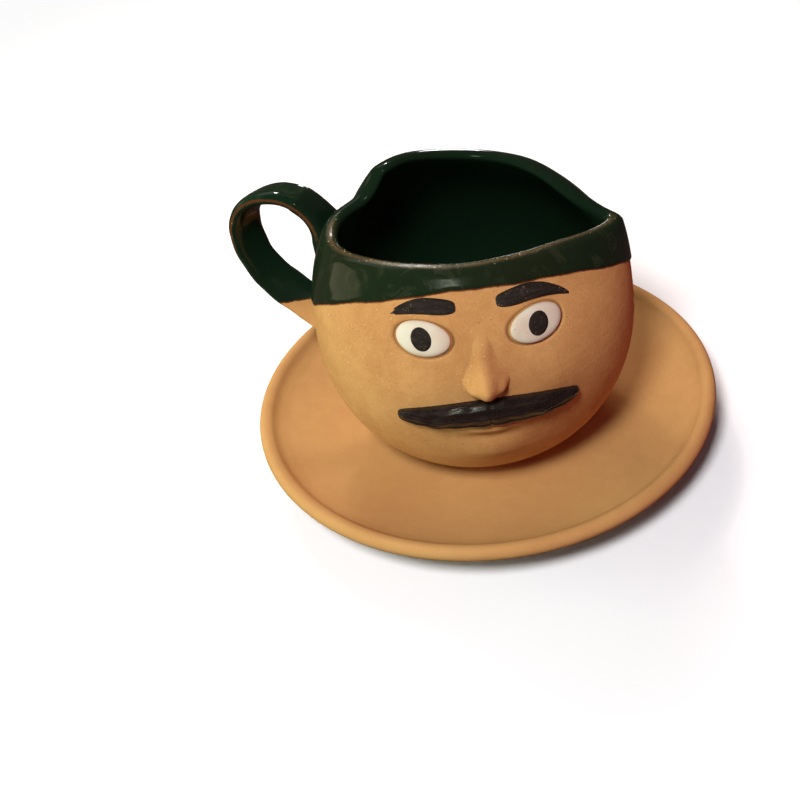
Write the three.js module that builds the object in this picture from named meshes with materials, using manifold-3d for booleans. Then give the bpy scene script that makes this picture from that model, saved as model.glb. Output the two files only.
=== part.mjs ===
// A hand-made clay cup with a modelled face and a dipped dark green cap of glaze, standing on its saucer.
// Millimetres, +Z up. The origin is on the table under the middle of the saucer, and the face looks along -Y.
import * as THREE from "three";
import { mergeVertices } from "three/addons/utils/BufferGeometryUtils.js";
import Module from "manifold-3d";

// Saucer
const saucerRadius = 65;
const saucerHeight = 15.2;
const saucerRimBead = 2.2; // radius of the rolled rim
const saucerDrop = 1.2; // from the top of the rolled rim down to the dish beside it
const saucerDishPower = 2.2; // how late the dish turns up towards the rim
const saucerThickness = 4.8;
const saucerWellRadius = 27; // flat seat of the cup
const saucerFootRadius = 37;
const saucerFootWidth = 5;
const saucerFootHeight = 2.2;

// Cup wall, with heights measured from the cup's own foot
const ballRadius = 43.3;
const bellyHeight = 36.3; // height of the widest part
const footRadius = 16;
const wallThickness = 4;
const floorThickness = 5;
const floorFlatRadius = 14; // flat middle of the floor inside
const rimInset = 14.2; // how far the rim stands in from the widest part
const rimRise = 33.3; // height of the rim above the widest part
const shoulderPower = 2.2; // how late the wall turns in towards the rim

// The two ends of the rim are pulled out and down, and the back left is pulled up. Angles in degrees,
// anticlockwise from +X seen from above. A fade gives a width in degrees and a power, behind and in front.
const rightEnd = {
  angle: -2,
  turn: 1,
  reach: 12,
  drop: 9,
  reachFade: { behind: [14.4, 1], before: [22, 1.2] },
  dropFade: { behind: [23, 1.35], before: [38, 1.3] },
};
const leftEnd = {
  angle: 172,
  turn: -1,
  reach: 8.8,
  drop: 6.6,
  reachFade: { behind: [23, 2.7], before: [40, 1.5] },
  dropFade: { behind: [28, 8], before: [36, 1.5] },
};
const backPeak = { angle: 130, rise: 4.3, width: 35 };

// Glaze, down to the tilted line where the cup was dipped
const glazeThickness = 0.5;
const dipBelowRim = 4.1; // at the front
const dipSideRise = 9; // at the two sides, above the widest part

// Handle, with points as distance out from the ball and height above its widest part
const handleAngle = 155;
const handleWidth = 10.5;
const handleThickness = 4;
const handleFlare = 0.3; // extra share of the width where the strap is pressed to the wall
const handleTwist = { root: -5, heel: 46 }; // degrees at the upper and the lower end
const handlePoints = [
  [-4.4, 13],
  [-1.6, 24.4],
  [4.7, 30.1],
  [14.5, 30.1],
  [21.6, 24.5],
  [23, 14.9],
  [19.1, 4.8],
  [9.6, -3.8],
  [-4.4, -12.5],
];

// Face: brow, nose base and chin lie a third of the face apart, on a head that leans back as the dip line
// does. The rest are lengths along its surface.
const dipToBrow = 1.5;
const chinAngle = -25; // below the ball's middle, in degrees
const browInner = 5;
const browLength = 21;
const browHeight = 4.6;
const browFall = 5; // how far the outer end lies below the inner end
const browRelief = 1.1;
const eyeWidth = 14.6; // also the space between the two eyes
const eyeHeight = 8.6;
const eyeRelief = 1.2;
const pupilDiameter = 5.6;
const pupilRelief = 0.6;
const noseWidth = 12;
const noseRelief = 6;
const moustacheLength = 25;
const moustacheHeight = 7.4;
const moustacheRelief = 3.2;
const moustacheFall = 2.2;
const moustacheParting = 0.5; // from the middle of the face to each half
const noseToMoustache = 0.6;

// Clearance where one piece is pressed on another
const seatGap = 0.3;

// Mesh fineness
const aroundCount = 48;
const belowGlazeCount = 11;
const aboveGlazeCount = 7;
const lipCount = 4;
const insideCount = 9;
const handleRings = 30;
const handleSides = 12;

const wasm = await Module();
wasm.setup();

const radians = THREE.MathUtils.degToRad;
const wellHeight = saucerFootHeight + saucerThickness;

const clay = { color: 0xc98748, roughness: 0.85, metalness: 0 };
const greenGlaze = { color: 0x0c2216, roughness: 0.12, metalness: 0 };
const blackGlaze = { color: 0x17120f, roughness: 0.4, metalness: 0 };
const whiteSlip = { color: 0xe6dccb, roughness: 0.55, metalness: 0 };

function roundPoint(angle, radius, height) {
  return new THREE.Vector3(radius * Math.cos(radians(angle)), radius * Math.sin(radians(angle)), height);
}

function namedMesh(name, geometry, finish) {
  const mesh = new THREE.Mesh(geometry, new THREE.MeshStandardMaterial(finish));
  mesh.name = name;
  return mesh;
}

// Closed body through a run of rings of equal count, from one pole to the other.
// Each ring runs anticlockwise seen from the end that the run heads for; facingIn turns the faces over.
function ringBody(startPole, rings, endPole, facingIn = false) {
  const count = rings[0].length;
  const points = [startPole, ...rings.flat(), endPole];
  const end = points.length - 1;
  const at = (ring, side) => 1 + ring * count + (side % count);
  const triangles = [];
  for (let side = 0; side < count; side += 1) {
    triangles.push([0, at(0, side + 1), at(0, side)]);
    for (let ring = 0; ring < rings.length - 1; ring += 1) {
      triangles.push([at(ring, side), at(ring, side + 1), at(ring + 1, side + 1)]);
      triangles.push([at(ring, side), at(ring + 1, side + 1), at(ring + 1, side)]);
    }
    triangles.push([end, at(rings.length - 1, side), at(rings.length - 1, side + 1)]);
  }
  if (facingIn) {
    triangles.forEach((triangle) => triangle.reverse());
  }
  const geometry = new THREE.BufferGeometry().setFromPoints(points);
  geometry.setIndex(triangles.flat());
  geometry.computeVertexNormals();
  return geometry;
}

function solidFrom(geometry) {
  const bare = geometry.clone();
  bare.deleteAttribute("normal");
  bare.deleteAttribute("uv");
  const merged = mergeVertices(bare);
  const vertProperties = new Float32Array(merged.attributes.position.array);
  const triVerts = new Uint32Array(merged.index.array);
  return new wasm.Manifold(new wasm.Mesh({ numProp: 3, vertProperties, triVerts }));
}

function geometryFrom(solid) {
  const mesh = solid.getMesh();
  const geometry = new THREE.BufferGeometry();
  geometry.setAttribute("position", new THREE.BufferAttribute(mesh.vertProperties, mesh.numProp));
  geometry.setIndex(new THREE.BufferAttribute(mesh.triVerts, 1));
  geometry.computeVertexNormals();
  return geometry;
}

// Saucer: a dish on a foot ring, with a rolled rim
function saucerGeometry() {
  const rimInner = saucerRadius - 2 * saucerRimBead;
  const dishEdge = saucerHeight - saucerDrop;
  const dishHeight = (radius) => {
    const share = (radius - saucerWellRadius) / (rimInner - saucerWellRadius);
    return wellHeight + (dishEdge - wellHeight) * share ** saucerDishPower;
  };
  const shares = [0.2, 0.4, 0.6, 0.8, 1];
  const dishRadii = shares.map((share) => THREE.MathUtils.lerp(saucerWellRadius, rimInner, share));
  const underRadii = dishRadii.filter((radius) => radius > saucerFootRadius + saucerThickness);
  const bead = new THREE.Path().absarc(
    saucerRadius - saucerRimBead,
    saucerHeight - saucerRimBead,
    saucerRimBead,
    radians(-70),
    radians(170),
  );
  const footInner = saucerFootRadius - saucerFootWidth;
  const footTop = dishHeight(saucerFootRadius) - saucerThickness;
  const profile = [
    new THREE.Vector2(0, saucerFootHeight),
    new THREE.Vector2(footInner - saucerFootHeight, saucerFootHeight),
    new THREE.Vector2(footInner, 0),
    new THREE.Vector2(saucerFootRadius, 0),
    new THREE.Vector2(saucerFootRadius + saucerFootHeight / 2, footTop),
    ...underRadii.map((radius) => new THREE.Vector2(radius, dishHeight(radius) - saucerThickness)),
    ...bead.getPoints(7),
    ...dishRadii.toReversed().map((radius) => new THREE.Vector2(radius, dishHeight(radius))),
    new THREE.Vector2(saucerWellRadius, wellHeight),
    new THREE.Vector2(0, wellHeight),
  ];
  return new THREE.LatheGeometry(profile, aroundCount).rotateX(Math.PI / 2);
}

// Share of a pull that is left some degrees away from the middle of a pulled end
function pullLeft(end, fade, angle) {
  const away = end.turn * (THREE.MathUtils.euclideanModulo(angle - end.angle + 180, 360) - 180);
  const [width, power] = away > 0 ? fade.behind : fade.before;
  return Math.exp(-((Math.abs(away) / width) ** power));
}

// Radius and height of the rim's outer edge at an angle round the cup
function rimAt(angle) {
  const fromPeak = THREE.MathUtils.euclideanModulo(angle - backPeak.angle + 180, 360) - 180;
  let radius = ballRadius - rimInset;
  let height = bellyHeight + rimRise + backPeak.rise * Math.exp(-((fromPeak / backPeak.width) ** 2));
  for (const end of [rightEnd, leftEnd]) {
    radius += end.reach * pullLeft(end, end.reachFade, angle);
    height -= end.drop * pullLeft(end, end.dropFade, angle);
  }
  return { radius, height };
}

const lipRadius = wallThickness / 2;
const lipPull = (4 / 3) * lipRadius; // makes the lip a half round where the wall is upright
const outerFace = { belly: ballRadius, flat: footRadius, base: 0, inset: 0 };
const innerFace = {
  belly: ballRadius - wallThickness,
  flat: floorFlatRadius,
  base: floorThickness,
  inset: wallThickness,
};

// Radius of a wall face: a quarter of an ellipse below the belly, and a power curve from there to the rim
function faceRadius(face, angle, height) {
  const rim = rimAt(angle);
  if (height <= bellyHeight) {
    const depth = (bellyHeight - height) / (bellyHeight - face.base);
    return face.flat + (face.belly - face.flat) * Math.sqrt(Math.max(0, 1 - depth * depth));
  }
  const share = (height - bellyHeight) / (rim.height - lipRadius - bellyHeight);
  return face.belly + (rim.radius - face.inset - face.belly) * share ** shoulderPower;
}

// Point of a wall face: step 0 is the base, 1 the belly and 2 the lip
function facePoint(face, angle, step) {
  const top = rimAt(angle).height - lipRadius;
  const low = bellyHeight - (bellyHeight - face.base) * Math.cos((Math.min(step, 1) * Math.PI) / 2);
  const height = step <= 1 ? low : THREE.MathUtils.lerp(bellyHeight, top, step - 1);
  return roundPoint(angle, faceRadius(face, angle, height), height);
}

// Direction up a wall face where it meets the lip, as radius and height
function faceLean(face, angle) {
  const rim = rimAt(angle);
  const rise = rim.height - lipRadius - bellyHeight;
  return new THREE.Vector2((shoulderPower * (rim.radius - face.inset - face.belly)) / rise, 1).normalize();
}

// Point of the rounded lip, which carries both faces on over the top: turn 0 is its outer side and 1 its
// inner side
function lipPoint(angle, turn) {
  const rim = rimAt(angle);
  const outer = new THREE.Vector2(rim.radius, rim.height - lipRadius);
  const inner = new THREE.Vector2(rim.radius - wallThickness, rim.height - lipRadius);
  const outerPull = outer.clone().addScaledVector(faceLean(outerFace, angle), lipPull);
  const innerPull = inner.clone().addScaledVector(faceLean(innerFace, angle), lipPull);
  const point = new THREE.CubicBezierCurve(outer, outerPull, innerPull, inner).getPoint(turn);
  return roundPoint(angle, point.x, point.y);
}

// Point of the front of the cup: across and up are arcs on the ball from the middle of its front
function frontPoint(across, up) {
  const rise = up / ballRadius;
  const height = bellyHeight + ballRadius * Math.sin(rise);
  const angle = frontAngle + THREE.MathUtils.radToDeg(across / (ballRadius * Math.cos(rise)));
  return roundPoint(angle, faceRadius(outerFace, angle, height), height);
}

// The dip line is a tilted plane through its place on the two sides and at the front
const frontAngle = -90;
const dipFrontRise = rimAt(frontAngle).height - dipBelowRim - bellyHeight;
const dipSlope = (dipFrontRise - dipSideRise) / faceRadius(outerFace, frontAngle, bellyHeight + dipFrontRise);
const dipHeight = (point) => bellyHeight + dipSideRise - dipSlope * point.y;

function dipStep(angle) {
  let low = 0;
  let high = 2;
  for (let halving = 0; halving < 40; halving += 1) {
    const middle = (low + high) / 2;
    const point = facePoint(outerFace, angle, middle);
    if (point.z < dipHeight(point)) {
      low = middle;
    } else {
      high = middle;
    }
  }
  return low;
}

const angles = Array.from({ length: aroundCount }, (_, side) => (side * 360) / aroundCount);
const dipSteps = angles.map(dipStep);

// Rings of the clay from the foot up the outside, over the lip and down the inside
function clayRings() {
  const rings = [];
  for (let row = 0; row <= belowGlazeCount; row += 1) {
    const share = row / belowGlazeCount;
    rings.push(angles.map((angle, side) => facePoint(outerFace, angle, share * dipSteps[side])));
  }
  for (let row = 1; row <= aboveGlazeCount; row += 1) {
    const share = row / aboveGlazeCount;
    const step = (side) => THREE.MathUtils.lerp(dipSteps[side], 2, share);
    rings.push(angles.map((angle, side) => facePoint(outerFace, angle, step(side))));
  }
  for (let row = 1; row <= lipCount; row += 1) {
    rings.push(angles.map((angle) => lipPoint(angle, row / lipCount)));
  }
  for (let row = insideCount - 1; row >= 0; row -= 1) {
    rings.push(angles.map((angle) => facePoint(innerFace, angle, (2 * row) / insideCount)));
  }
  return rings;
}

// Rings moved out of the clay along the normals of the grid, by a distance given for each row
function liftRings(rings, startPole, endPole, distance) {
  const count = rings[0].length;
  return rings.map((ring, row) =>
    ring.map((point, side) => {
      const before = row === 0 ? startPole : rings[row - 1][side];
      const after = row === rings.length - 1 ? endPole : rings[row + 1][side];
      const along = after.clone().sub(before);
      const around = ring[(side + 1) % count].clone().sub(ring[(side + count - 1) % count]);
      return point.clone().addScaledVector(around.cross(along).normalize(), distance(row));
    }),
  );
}

const footPole = new THREE.Vector3(0, 0, 0);
const floorPole = new THREE.Vector3(0, 0, floorThickness);
const wallRings = clayRings();

function cupBodyGeometry() {
  return ringBody(footPole, wallRings, floorPole);
}

// Glaze: a skin whose inner side is the clay's own grid, from the dip line over the lip to the floor
function glazeGeometry() {
  const skin = liftRings(wallRings, footPole, floorPole, () => glazeThickness).slice(belowGlazeCount);
  const skinPole = floorPole.clone().setZ(floorThickness + glazeThickness);
  return ringBody(skinPole, [...skin.toReversed(), ...wallRings.slice(belowGlazeCount)], floorPole, true);
}

// The filled cup with its glaze and a clearance, which trims the ends of the handle
function trimmingSolid() {
  const lipTop = belowGlazeCount + aboveGlazeCount + lipCount / 2;
  const distance = (row) => seatGap + (row < belowGlazeCount ? 0 : glazeThickness);
  const rings = liftRings(wallRings, footPole, floorPole, distance).slice(0, lipTop + 1);
  const topPole = footPole.clone().setZ(bellyHeight + rimRise);
  return solidFrom(ringBody(footPole.clone().setZ(-seatGap), rings, topPole));
}

// Handle: a flat strap with rounded edges along a loop, turned a little about its own length
function handleGeometry() {
  const outward = roundPoint(handleAngle, 1, 0);
  const upward = new THREE.Vector3(0, 0, 1);
  const sideways = outward.clone().cross(upward).negate();
  const spine = handlePoints.map(([out, height]) =>
    outward.clone().multiplyScalar(ballRadius + out).addScaledVector(upward, bellyHeight + height),
  );
  const path = new THREE.CatmullRomCurve3(spine, false, "centripetal");
  const rings = [];
  for (let row = 0; row <= handleRings; row += 1) {
    const share = row / handleRings;
    const centre = path.getPointAt(share);
    const along = path.getTangentAt(share);
    const twist = radians(THREE.MathUtils.lerp(handleTwist.root, handleTwist.heel, share));
    const across = sideways.clone().applyAxisAngle(along, twist);
    const through = along.clone().cross(across);
    const width = (handleWidth / 2) * (1 + handleFlare * Math.abs(2 * share - 1) ** 5);
    const ring = [];
    for (let side = 0; side < handleSides; side += 1) {
      const turn = (side * 2 * Math.PI) / handleSides;
      const flat = (value) => Math.sign(value) * Math.abs(value) ** 0.7;
      const point = centre.clone().addScaledVector(across, width * flat(Math.cos(turn)));
      ring.push(point.addScaledVector(through, (handleThickness / 2) * flat(Math.sin(turn))));
    }
    rings.push(ring);
  }
  const strap = ringBody(path.getPointAt(0), rings, path.getPointAt(1));
  return geometryFrom(solidFrom(strap).subtract(trimmingSolid()));
}

// Pad pressed on the front of the cup: its outline runs anticlockwise seen from outside,
// and its top rises to the relief given for each share of the way from the middle to the edge
function padGeometry({ centre, outline, lift, relief, rows = [0.35, 0.65, 0.85, 1], sides = 24 }) {
  const onWall = (across, up, distance) => {
    const point = frontPoint(across, up);
    const step = 0.05;
    const right = frontPoint(across + step, up).sub(point);
    const over = frontPoint(across, up + step).sub(point);
    return point.addScaledVector(right.cross(over).normalize(), distance);
  };
  const edge = Array.from({ length: sides }, (_, side) => outline(side / sides));
  const ringAt = (share, distance) =>
    edge.map(([across, up]) => {
      const place = [centre[0] + share * (across - centre[0]), centre[1] + share * (up - centre[1])];
      return onWall(place[0], place[1], distance(share, place[0], place[1]));
    });
  const under = () => lift;
  const over = (share, across, up) => lift + relief(share, across, up);
  const rings = [
    ...rows.map((share) => ringAt(share, under)),
    ...rows.toReversed().map((share) => ringAt(share, over)),
  ];
  return ringBody(onWall(...centre, lift), rings, onWall(...centre, over(0, ...centre)));
}

// The same outline on the other side of the face, still anticlockwise
const mirrored = (outline) => (turn) => {
  const [across, up] = outline(1 - turn);
  return [-across, up];
};

// A left and a right copy of a pad that is drawn on the right
function padPair(name, finish, pad) {
  const left = { ...pad, centre: [-pad.centre[0], pad.centre[1]], outline: mirrored(pad.outline) };
  left.relief = (share, across, up) => pad.relief(share, -across, up);
  return [
    namedMesh(`left_${name}`, padGeometry(left), finish),
    namedMesh(`right_${name}`, padGeometry(pad), finish),
  ];
}

const browUp = ballRadius * Math.asin(dipFrontRise / ballRadius) - dipToBrow - browHeight / 2;
const chinUp = ballRadius * radians(chinAngle);
const noseUp = (browUp + chinUp) / 2;
const eyeUp = browUp - (browUp - noseUp) / 3;
const roundEdge = (share, power, low) => low + (1 - low) * (1 - share ** power);

function eyePads() {
  const centre = [eyeWidth, eyeUp];
  return padPair("eye", whiteSlip, {
    centre,
    lift: seatGap,
    outline: (turn) => {
      const angle = turn * 2 * Math.PI;
      return [centre[0] + (eyeWidth / 2) * Math.cos(angle), centre[1] + (eyeHeight / 2) * Math.sin(angle)];
    },
    rows: [0.7, 0.9, 1],
    relief: (share) => eyeRelief * (share < 0.8 ? 1 : roundEdge((share - 0.8) / 0.2, 2, 0.4)),
  });
}

function pupilPads() {
  const centre = [eyeWidth, eyeUp];
  return padPair("pupil", blackGlaze, {
    centre,
    lift: seatGap + eyeRelief + seatGap,
    outline: (turn) => {
      const angle = turn * 2 * Math.PI;
      return [
        centre[0] + (pupilDiameter / 2) * Math.cos(angle),
        centre[1] + (pupilDiameter / 2) * Math.sin(angle),
      ];
    },
    rows: [0.6, 1],
    sides: 16,
    relief: (share) => pupilRelief * roundEdge(share, 2, 0.5),
  });
}

// Outline round a bent bar: share runs from the inner to the outer end along its middle line
function barOutline(inner, length, middle, halfHeight) {
  return (turn) => {
    const angle = turn * 2 * Math.PI;
    const share = (1 - Math.cos(Math.PI - angle)) / 2;
    const side = Math.sign(Math.sin(angle)) * Math.sqrt(Math.abs(Math.sin(angle)));
    return [inner + length * share, middle(share) + halfHeight(share) * side];
  };
}

function browPads() {
  const middle = (share) => browUp - browFall * Math.max(0, (share - 0.3) / 0.7) ** 2;
  const halfHeight = (share) => (browHeight / 2) * (1 - 0.7 * share ** 2);
  return padPair("brow", blackGlaze, {
    centre: [browInner + 0.4 * browLength, middle(0.4)],
    lift: seatGap,
    outline: barOutline(browInner, browLength, middle, halfHeight),
    rows: [0.5, 0.8, 1],
    relief: (share) => browRelief * roundEdge(share, 3, 0.4),
  });
}

function moustachePads() {
  const top = noseUp - noseToMoustache;
  const middle = (share) => top - moustacheHeight / 2 - moustacheFall * share ** 2;
  const halfHeight = (share) => (moustacheHeight / 2) * (1 - 0.45 * share ** 2);
  return padPair("moustache", blackGlaze, {
    centre: [moustacheParting + 0.4 * moustacheLength, middle(0.4)],
    lift: seatGap,
    outline: barOutline(moustacheParting, moustacheLength, middle, halfHeight),
    relief: (share) => moustacheRelief * roundEdge(share, 2.4, 0.3),
  });
}

// Nose: a wedge from the eye line to its base, widest and highest at the tip
function noseMesh() {
  const length = eyeUp - noseUp;
  const tipRise = 0.24;
  const tip = [0, noseUp + tipRise * length];
  const swell = (rise, low, width) => low + (1 - low) * Math.exp(-(((rise - tipRise) / width) ** 2));
  const outline = (turn) => {
    const angle = turn * 2 * Math.PI;
    const rise = (1 + Math.sin(angle)) / 2;
    const side = Math.sign(Math.cos(angle)) * Math.sqrt(Math.abs(Math.cos(angle)));
    return [(noseWidth / 2) * swell(rise, 0.34, 0.3) * side, noseUp + length * rise];
  };
  const relief = (share, across, up) => {
    const ridge = noseRelief * swell((up - noseUp) / length, 0.2, 0.4);
    return ridge * (0.1 + 0.9 * Math.sqrt(Math.max(0, 1 - share ** 2.2)));
  };
  const rows = [0.25, 0.5, 0.75, 0.92, 1];
  return namedMesh("nose", padGeometry({ centre: tip, outline, lift: seatGap, relief, rows }), clay);
}

const cup = new THREE.Group();
cup.position.z = wellHeight;
cup.add(namedMesh("cup_body", cupBodyGeometry(), clay));
cup.add(namedMesh("glaze_coat", glazeGeometry(), greenGlaze));
cup.add(namedMesh("handle", handleGeometry(), greenGlaze));
cup.add(noseMesh(), ...eyePads(), ...pupilPads(), ...browPads(), ...moustachePads());

const part = new THREE.Group();
part.add(namedMesh("saucer", saucerGeometry(), clay), cup);

export default part;
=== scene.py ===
# Clay cup with a modelled face on its saucer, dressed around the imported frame.
# Lengths are worked out in millimetres and written to the meshes in metres; angles are in degrees,
# anticlockwise from +X seen from above. Cup heights count from the cup's own foot.
import math

import bpy
import numpy as np
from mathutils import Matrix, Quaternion, Vector


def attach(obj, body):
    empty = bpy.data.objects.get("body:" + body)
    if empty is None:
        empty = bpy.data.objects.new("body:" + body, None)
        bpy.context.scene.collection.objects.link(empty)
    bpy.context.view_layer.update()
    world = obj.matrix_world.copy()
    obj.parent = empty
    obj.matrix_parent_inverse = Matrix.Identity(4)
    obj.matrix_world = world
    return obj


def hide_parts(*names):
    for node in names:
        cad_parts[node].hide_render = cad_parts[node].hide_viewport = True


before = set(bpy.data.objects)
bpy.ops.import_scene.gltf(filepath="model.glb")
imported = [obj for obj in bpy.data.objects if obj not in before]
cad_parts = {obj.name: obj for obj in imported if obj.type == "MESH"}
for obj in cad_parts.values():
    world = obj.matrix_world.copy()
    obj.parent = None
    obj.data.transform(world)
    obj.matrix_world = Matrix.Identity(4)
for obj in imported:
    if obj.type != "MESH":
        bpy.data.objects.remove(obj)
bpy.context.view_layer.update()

mm = 0.001
fullTurn = 2 * math.pi


# Mesh making

# Skin over a run of rings: a quad between each two neighbours on two rings and a fan to a pole at each end.
# Every ring runs anticlockwise seen from the end that the run heads for, so the faces point outwards.
def skinRings(rings, startPole, endPole):
    rows, columns = rings.shape[:2]
    start, end = (np.reshape(pole, (1, 3)) for pole in (startPole, endPole))
    points = np.concatenate([start, rings.reshape(-1, 3), end])
    side = np.arange(columns)
    after = (side + 1) % columns
    low = 1 + columns * np.arange(rows - 1)[:, None]
    quads = np.stack([low + side, low + after, low + columns + after, low + columns + side], axis=-1)
    last = 1 + columns * (rows - 1)
    startFan = np.stack([np.zeros(columns, int), 1 + after, 1 + side], axis=-1)
    endFan = np.stack([np.full(columns, len(points) - 1), last + side, last + after], axis=-1)
    return points, quads.reshape(-1, 4).tolist() + startFan.tolist() + endFan.tolist()


# Piece from rings in millimetres, lifted onto the saucer where it rides on the cup; marks are named arrays
# with one value for each ring point
def addPiece(name, node, rings, poles, finish, slot, body="cup", marks=None):
    points, faces = skinRings(rings, *poles)
    lift = cup["stand"] if body == "cup" else 0.0
    mesh = bpy.data.meshes.new(name)
    mesh.from_pydata(((points + [0, 0, lift]) * mm).tolist(), [], faces)
    for mark, values in (marks or {}).items():
        layer = mesh.attributes.new(mark, "FLOAT", "POINT")
        spread = np.concatenate([values[0, :1], values.ravel(), values[-1, :1]])
        layer.data.foreach_set("value", spread.astype(np.float32))
    mesh.shade_smooth()
    mesh.materials.append(finish)
    piece = bpy.data.objects.new(name, mesh)
    bpy.context.scene.collection.objects.link(piece)
    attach(piece, body)
    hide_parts(node)
    print("piece:", name, "faces", len(faces))


# Unit normal at each ring point: step to the next column crossed with step to the next row
def ringNormals(rings, startPole, endPole):
    first = np.broadcast_to(startPole, rings[:1].shape)
    last = np.broadcast_to(endPole, rings[:1].shape)
    along = np.concatenate([rings[1:], last]) - np.concatenate([first, rings[:-1]])
    around = np.roll(rings, -1, axis=1) - np.roll(rings, 1, axis=1)
    normal = np.cross(around, along)
    return normal / np.linalg.norm(normal, axis=-1, keepdims=True)


# Points at an angle, a radius and a height about the cup's axis
def roundPoints(angle, radius, height):
    turn = np.radians(angle)
    return np.stack(np.broadcast_arrays(radius * np.cos(turn), radius * np.sin(turn), height), axis=-1)


# 0 below low, 1 above high, and the smooth cubic 3t^2 - 2t^3 between them
def smoothStep(low, high, value):
    share = np.clip((value - low) / (high - low), 0, 1)
    return share * share * (3 - 2 * share)


# Cubic Bezier curve at a share t: the four points weighed by (1 - t)^3, 3 (1 - t)^2 t, 3 (1 - t) t^2 and t^3
def bezier(t, start, startPull, endPull, end):
    back = 1 - t
    return back**3 * start + 3 * back**2 * t * startPull + 3 * back * t**2 * endPull + t**3 * end


# Sum of sines of a turn, each given as a count, a size and a start
def waves(turn, parts):
    return sum(size * np.sin(count * turn + start) for count, size, start in parts)


# Node helpers

# A socket among the inputs is linked, and anything else is set
def fillInputs(tree, node, inputs):
    for key, value in inputs.items():
        if isinstance(value, bpy.types.NodeSocket):
            tree.links.new(value, node.inputs[key])
        else:
            node.inputs[key].default_value = value
    return node


def addNode(tree, kind, inputs=None, **settings):
    node = tree.nodes.new("ShaderNode" + kind)
    for key, value in settings.items():
        setattr(node, key, value)
    return fillInputs(tree, node, inputs or {})


def sums(tree, operation, first, second, clamp=False):
    return addNode(tree, "Math", {0: first, 1: second}, operation=operation, use_clamp=clamp).outputs[0]


def plus(tree, first, second, clamp=False):
    return sums(tree, "ADD", first, second, clamp)


def minus(tree, first, second):
    return sums(tree, "SUBTRACT", first, second)


def times(tree, first, second, clamp=False):
    return sums(tree, "MULTIPLY", first, second, clamp)


def larger(tree, first, second):
    return sums(tree, "MAXIMUM", first, second)


def mixed(tree, share, first, second):
    return addNode(tree, "Mix", {0: share, 6: first, 7: second}, data_type="RGBA").outputs[2]


def blended(tree, share, first, second):
    return addNode(tree, "Mix", {0: share, 2: first, 3: second}, data_type="FLOAT").outputs[0]


# Colour with layers laid over it one after another, each a share and a tone
def layered(tree, colour, *layers):
    for share, tone in layers:
        colour = mixed(tree, share, colour, tone)
    return colour


# Value carried from one range to another, smoothed at both ends
def ranged(tree, value, low, high, toLow=0.0, toHigh=1.0):
    inputs = {"Value": value, "From Min": low, "From Max": high, "To Min": toLow, "To Max": toHigh}
    return addNode(tree, "MapRange", inputs, interpolation_type="SMOOTHSTEP").outputs[0]


def noise(tree, place, scale, detail, rough, distortion=0.0):
    inputs = {"Vector": place, "Scale": scale, "Detail": detail, "Roughness": rough, "Distortion": distortion}
    return addNode(tree, "TexNoise", inputs).outputs[0]


# Noise drawn out: the scale along each axis is its own
def streaks(tree, place, scale, detail, rough):
    drawn = addNode(tree, "Mapping", {"Vector": place, "Scale": scale}).outputs[0]
    return noise(tree, drawn, 1, detail, rough)


# Value made ragged by an amount of a noise, which is centred on nought first
def ragged(tree, value, grain, amount, clamp=False):
    return plus(tree, value, times(tree, minus(tree, grain, 0.5), amount), clamp)


def attribute(tree, name):
    return addNode(tree, "Attribute", attribute_name=name).outputs["Fac"]


speckCore = 0.55  # share of a speck's radius that is solid


# Scattered round specks: cells of a size, a share of them chosen by the cell's random colour,
# each a dot that fills a part of its cell
def specks(tree, place, scale, chosen, dot):
    cells = addNode(tree, "TexVoronoi", {"Vector": place, "Scale": scale})
    red = addNode(tree, "SeparateColor", {0: cells.outputs["Color"]}).outputs[0]
    spot = ranged(tree, cells.outputs["Distance"], dot, dot * speckCore)
    return times(tree, sums(tree, "LESS_THAN", red, chosen), spot)


def newGroup(name, inputs, outputs):
    tree = bpy.data.node_groups.new(name, "ShaderNodeTree")
    for side, sockets in (("INPUT", inputs), ("OUTPUT", outputs)):
        for label, kind in sockets.items():
            tree.interface.new_socket(label, in_out=side, socket_type="NodeSocket" + kind)
    start = tree.nodes.new("NodeGroupInput")
    end = tree.nodes.new("NodeGroupOutput")
    return tree, start.outputs, end


def useGroup(tree, group, inputs):
    return addNode(tree, "Group", inputs, node_tree=group).outputs


# Material with its shader, which gets the plain values, and the piece's own coordinates in metres
def newMaterial(name, plain):
    material = bpy.data.materials.new(name)
    material.use_nodes = True
    tree = material.node_tree
    tree.nodes.clear()
    shader = addNode(tree, "BsdfPrincipled", plain)
    addNode(tree, "OutputMaterial", {"Surface": shader.outputs[0]})
    place = addNode(tree, "TexCoord").outputs["Object"]
    return material, tree, shader, place


def finishShader(tree, shader, colour, roughness, height, depth):
    bump = addNode(tree, "Bump", {"Height": height, "Distance": depth, "Strength": 1.0})
    fillInputs(tree, shader, {"Base Color": colour, "Roughness": roughness, "Normal": bump.outputs[0]})


# Effects that several finishes share. A noise is given as its scale, a count to the metre, its detail, its
# roughness and where needed its distortion, and specks as a count, the share of cells that has one, and their
# size. A spread is the range that is read, and where it isn't 0 to 1 the range that it is carried to.

surface = {"Color": "Color", "Roughness": "Float", "Height": "Float"}

clayGrain = {
    "patch": (30, 2, 0.5), "patchSpread": (0.3, 0.7, -0.5, 0.5),
    "blotch": (230, 3, 0.6), "blotchSpread": (0.3, 0.7, -0.3, 0.3),
    "middle": 0.42,  # share of the deep tone where nothing varies it
    "grain": (1700, 3, 0.65), "roughSpread": (0.3, 0.7, 0.7, 0.86),
    "lines": ((40, 40, 1300), 2, 0.5), "lineTone": 0.12, "lineHeight": 0.08,
    "mica": (850, 0.34, 0.17), "micaTone": (0.72, 0.54, 0.33, 1), "micaShare": 0.5, "micaHeight": 0.5,
    "micaGloss": -0.4,
    "pores": (640, 0.08, 0.16), "poreTone": (0.12, 0.045, 0.019, 1), "poreShare": 0.4, "poreDepth": 0.8,
}


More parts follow.
